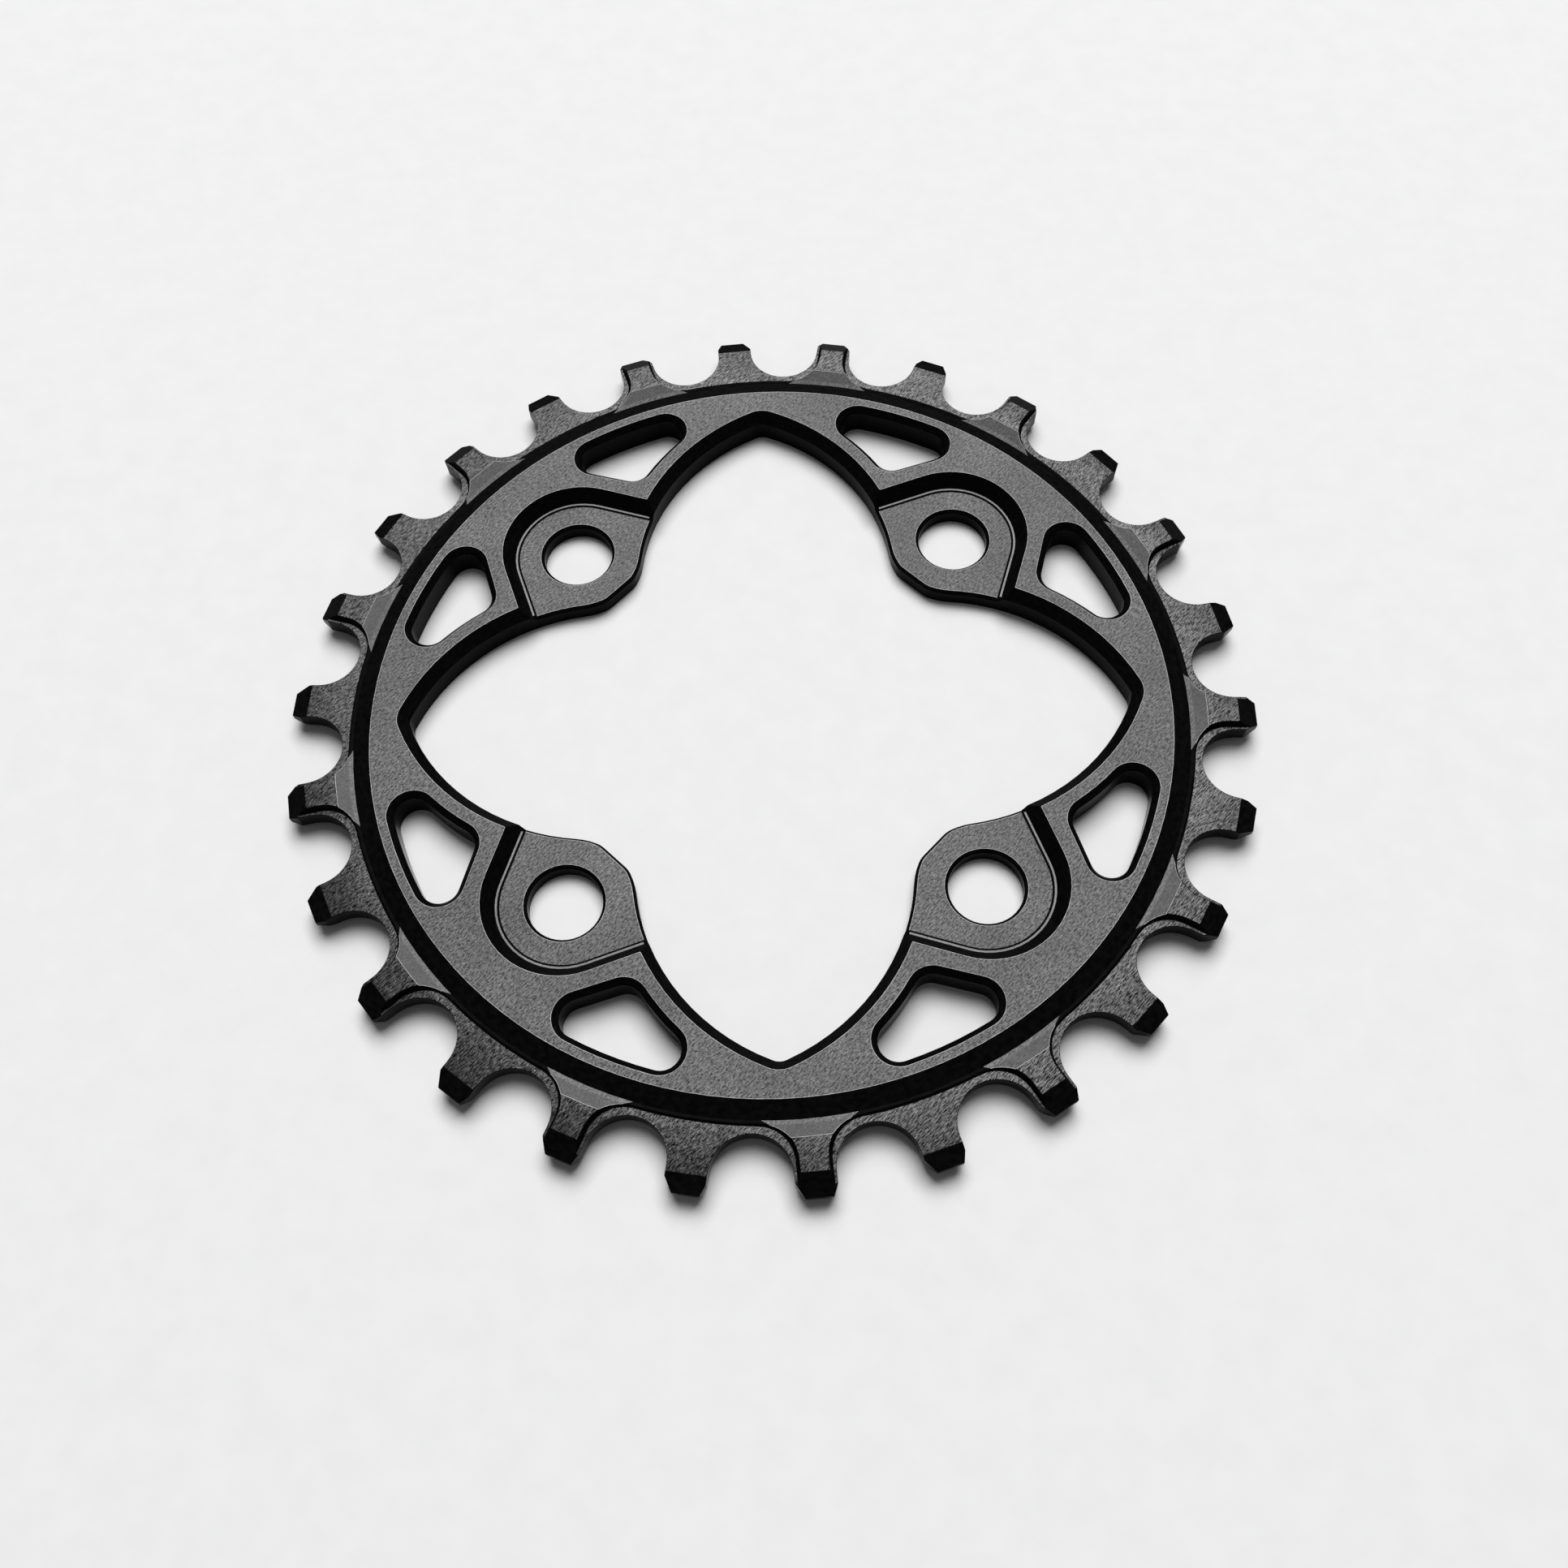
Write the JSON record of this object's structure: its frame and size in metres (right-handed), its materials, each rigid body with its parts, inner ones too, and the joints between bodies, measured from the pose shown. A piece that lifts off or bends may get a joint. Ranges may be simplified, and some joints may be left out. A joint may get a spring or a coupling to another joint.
{
  "type": "bicycle chainring",
  "caption": "Flat narrow-wide bicycle chainring: a toothed ring with a petal-shaped opening, recessed bolt tabs, lightening slots and a groove between web and teeth.",
  "frame": {"origin": "middle of the flat back face, on the ring's axis", "axes": "+Z along the ring's axis, out of the front with the recessed pads; X and Y run through the petals of the opening, so the bolt tabs stand at 45 degrees"},
  "size_m": [0.1094, 0.1094, 0.0037],
  "materials": {
    "anodised": "black hard anodised, satin, with fine machining marks"
  },
  "bodies": {
    "root": {"chainring": "anodised"}
  },
  "joints": []
}
